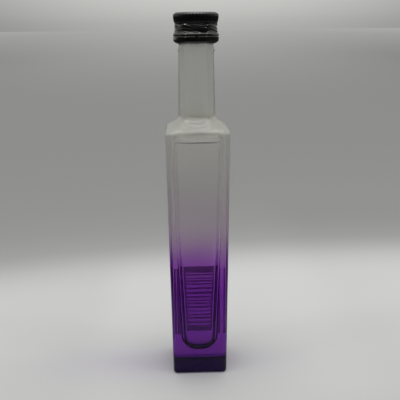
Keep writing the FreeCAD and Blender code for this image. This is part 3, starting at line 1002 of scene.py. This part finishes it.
def distance_behind(finish, x, y):
    """How far back a point counts as lying: y, plus half the square of x, less 0.12 of x, so that
    the bands of grey bow and slant a little."""
    bowed = calc(finish, "MULTIPLY_ADD", calc(finish, "MULTIPLY", x, x), 0.5, y)
    slanted = calc(finish, "MULTIPLY_ADD", x, -0.12, bowed)
    return calc(finish, "MAXIMUM", slanted, NEAREST)


def grey_of_sheet(finish, behind):
    """The ramp of greys over the squeezed distance, as far_share gives it."""
    squeezed = calc(finish, "DIVIDE", behind, calc(finish, "ADD", behind, SQUEEZE))
    share = calc(finish, "DIVIDE", calc(finish, "ADD", squeezed, SHIFT), SPAN)
    greys = [(far_share(distance), grey) for distance, grey in FLOOR_GREYS]
    return grey_ramp(finish, share, greys, (1, 1, 1.01), "B_SPLINE")


print("greys on the floor:", len(FLOOR_GREYS), "from", FLOOR_GREYS[0], "to", FLOOR_GREYS[-1])

# %% [markdown]
# ## What dims and tints the sheet
# A real sheet isn't evenly lit: it fades to both sides, and the bottle throws a little violet
# beside its base. Lamps could do it, but they would change the glass too. So these shades are
# part of the sheet's own colour, each a formula of the place on the sheet, and one of them is
# for mirrored rays only.

# %% Floor
def painted_shade_far_aside(finish, x, behind):
    """Painted shade: far back, the sheet darkens to both sides by 3.3 times the square of a point's
    x over its distance, to no less than 0.55."""
    from_middle = calc(finish, "MULTIPLY_ADD", behind, -0.02, x)
    aside = calc(finish, "DIVIDE", from_middle, calc(finish, "ADD", behind, SQUEEZE))
    aside = calc(finish, "MULTIPLY", calc(finish, "MULTIPLY", aside, aside), -3.3)
    far = share_between(finish, behind, 0.3, 4.0, "SMOOTHSTEP")
    farther = share_between(finish, behind, 5.0, 20.0, "SMOOTHSTEP")
    far = calc(finish, "MULTIPLY_ADD", farther, 0.34, far)
    return calc(finish, "MAXIMUM", calc(finish, "MULTIPLY_ADD", aside, far, 1.0), 0.55)


def near_side(finish, x, x_range, y, y_range):
    """A patch of the sheet beside the bottle, where shade is painted: a share of x times a share of
    y.
    """
    return calc(
        finish, "MULTIPLY", share_between(finish, x, *x_range), share_between(finish, y, *y_range)
    )


def dim_when_mirrored(finish, x, y, dim):
    """A painted shade for reflections only: mirrored rays see the sheet darken by up to 0.88 from
    40 to 140 mm away from the axis, as in a dark room. Light that passes rough glass counts as
    glossy and as transmitted, and is left alone."""
    squares = calc(finish, "MULTIPLY_ADD", x, x, calc(finish, "MULTIPLY", y, y))
    away = share_between(finish, calc(finish, "SQRT", squares), 0.04, 0.14)
    path = add_node(finish, "ShaderNodeLightPath").outputs
    mirrored = calc(finish, "SUBTRACT", path["Is Glossy Ray"], path["Is Transmission Ray"])
    mirrored = calc(finish, "MULTIPLY", calc(finish, "MAXIMUM", mirrored, 0.0), away)
    return calc(finish, "MULTIPLY", dim, calc(finish, "MULTIPLY_ADD", mirrored, -0.88, 1.0))


def painted_violet_shade_under_bottle(finish, x, y):
    """A painted shade and violet tint beside the base, standing in for the bottle's shadow and the
    light that comes through its dye: a bell curve of the distance from an oval's middle, in half
    widths."""
    over_x = calc(finish, "DIVIDE", calc(finish, "ADD", x, 0.018), 0.048)
    over_y = calc(finish, "DIVIDE", calc(finish, "ADD", y, 0.002), 0.014)
    away = calc(finish, "MULTIPLY_ADD", over_x, over_x, calc(finish, "MULTIPLY", over_y, over_y))
    share = calc(finish, "EXPONENT", calc(finish, "MULTIPLY", away, -1.0))
    return mix(finish, share, (1, 1, 1, 1), (0.88, 0.85, 0.93, 1))


def pale_sheet():
    """The grey of the sheet, with painted shade that dims it and tints it violet round the base."""
    finish, shader = new_finish("pale_sheet")
    _, x, y, _ = object_place(finish)
    behind = distance_behind(finish, x, y)
    # Painted shade: 0.05 off in a patch to the right, and a painted shadow, 0.08 off, in a patch to
    # the left of the bottle.
    right = near_side(finish, x, (0.05, 0.10), y, (0.3, 0.2))
    left = near_side(finish, x, (-0.03, -0.07), y, (0.16, 0.08))
    dim = calc(finish, "MULTIPLY_ADD", right, -0.05, painted_shade_far_aside(finish, x, behind))
    dim = dim_when_mirrored(finish, x, y, dim)
    dim = calc(finish, "MULTIPLY_ADD", left, -0.08, dim)
    plain = scaled(finish, grey_of_sheet(finish, behind), dim)
    inputs = {0: plain, 1: painted_violet_shade_under_bottle(finish, x, y)}
    shaded = add_node(finish, "ShaderNodeVectorMath", inputs, operation="MULTIPLY")
    feed(shader.inputs["Base Color"], shaded.outputs[0])
    shader.inputs["Roughness"].default_value = 0.9
    shader.inputs["Specular IOR Level"].default_value = 0.1
    return finish


REACH = 40.0


def floor_sheet():
    """A flat square, wide enough to reach the horizon."""
    mesh = bpy.data.meshes.new("floor")
    corners = [(-REACH, -REACH, 0), (REACH, -REACH, 0), (REACH, REACH, 0), (-REACH, REACH, 0)]
    mesh.from_pydata(corners, [], [(0, 1, 2, 3)])
    mesh.materials.append(pale_sheet())
    made = bpy.data.objects.new("floor", mesh)
    bpy.context.scene.collection.objects.link(made)
    return made


floor = floor_sheet()
print("floor:", 2 * REACH, "m square")

# %% [markdown]
# ## The light box
# A light box gives soft light from above and a little from everywhere. Here that is a wide sun
# lamp, high and slightly behind, two weak narrow ones from either side, and a world that is
# brighter overhead. The box is open in front, low down. What mirrors there sees a dark room, and
# so the black cap stays black between its streaks. What is only lit from there gets more light
# than the greys say, up to 1.9 times as much, which brings up the frosted front.

# %% World and lamp
BACKDROP_GREYS = (
    (0.00, 0.430), (0.01, 0.458), (0.022, 0.510), (0.042, 0.570), (0.08, 0.62),
    (0.25, 0.50), (0.42, 0.29), (0.60, 0.29), (0.80, 0.80), (1.00, 1.00),
)
BOX_GREYS = ((0.00, 0.50), (0.25, 0.42), (0.55, 0.48), (0.80, 0.95), (1.00, 1.15))
WORLD_TINT = (1, 1.003, 0.97)
FRONT_LIT, FRONT_MIRRORED = 0.90, -1.85


def light_box():
    """For what looks straight or through glass at it: the backdrop's greys, dimmer by 2.7 times
    the square of the way aside. For what it lights and for what mirrors it: the box's greys.
    At the low front these are multiplied by 1.9 for lighting and by 0.05 for mirroring. Each ramp
    gives a grey for the upward part of the direction."""
    world = bpy.data.worlds.new("light_box")
    bpy.context.scene.world = world
    world.use_nodes = True
    toward = add_node(world, "ShaderNodeTexCoord").outputs["Generated"]
    across, back, rise = add_node(world, "ShaderNodeSeparateXYZ", {0: toward}).outputs
    path = add_node(world, "ShaderNodeLightPath").outputs
    front = share_between(world, back, 0.20, -0.40, "SMOOTHSTEP")
    low = share_between(world, rise, 0.65, 0.40, "SMOOTHSTEP")
    front = calc(world, "MULTIPLY", front, low)
    change = calc(world, "MULTIPLY_ADD", path["Is Glossy Ray"], FRONT_MIRRORED, FRONT_LIT)
    change = calc(world, "MULTIPLY_ADD", front, change, 1.0)
    box = scaled(world, grey_ramp(world, rise, BOX_GREYS, WORLD_TINT), change)
    aside = calc(world, "SUBTRACT", across, 0.05)
    edge = calc(world, "MULTIPLY_ADD", calc(world, "MULTIPLY", aside, aside), -2.7, 1.0)
    edge = calc(world, "MAXIMUM", edge, 0.5)
    backdrop = scaled(world, grey_ramp(world, rise, BACKDROP_GREYS, WORLD_TINT), edge)
    seen = calc(world, "MAXIMUM", path["Is Camera Ray"], path["Is Transmission Ray"])
    feed(world.node_tree.nodes["Background"].inputs["Color"], mix(world, seen, box, backdrop))


def sun(name, strength, angle, tilt, turn):
    """A sun lamp: tilt is its lean from straight down, turn its direction round the axis."""
    lamp = bpy.data.lights.new(name, "SUN")
    lamp.energy, lamp.angle = strength, np.radians(angle)
    made = bpy.data.objects.new(name, lamp)
    bpy.context.scene.collection.objects.link(made)
    made.rotation_euler = (np.radians(tilt), 0, np.radians(turn))
    return made


light_box()
sun("top_light", 0.60, 45, -6, 0)
sun("left_light", 0.12, 6, 42, -70)
sun("right_light", 0.12, 6, 42, 70)
bpy.context.scene.view_settings.view_transform = "Standard"
print("lamps:", [lamp.name for lamp in bpy.data.lights])

# %% [markdown]
# ## Camera
# The camera stands a forearm's length away, a little below the cap's top, and looks down at the
# middle of the bottle. Its tilt, turn and lens together give the bottle's outline. The coat, the
# glass and the drink are many faces deep, so light may pass or bounce more often than usual.

# %% Camera
CAMERA_PLACE = (-7.36 * MM, -247.9 * MM, 151.5 * MM)
CAMERA_TURN, CAMERA_TILT, CAMERA_ROLL = -1.7, 90 - 16.37, -0.6


def turned(degrees, axis):
    """A turn about an axis."""
    return Matrix.Rotation(np.radians(degrees), 4, axis)


lens = bpy.data.cameras.new("camera")
lens.lens, lens.sensor_width = 53.0, 36.0
lens.shift_x, lens.shift_y = 0.00575, 0.0017
lens.clip_start, lens.clip_end = 0.01, 200.0
camera = bpy.data.objects.new("camera", lens)
bpy.context.scene.collection.objects.link(camera)
aim = turned(CAMERA_TURN, "Z") @ turned(CAMERA_TILT, "X")
camera.matrix_world = Matrix.Translation(CAMERA_PLACE) @ aim @ turned(CAMERA_ROLL, "Z")
bpy.context.scene.camera = camera
bpy.context.scene.cycles.max_bounces = 36
bpy.context.scene.cycles.transmission_bounces = 36
print("camera:", [round(place / MM, 1) for place in CAMERA_PLACE], "mm")
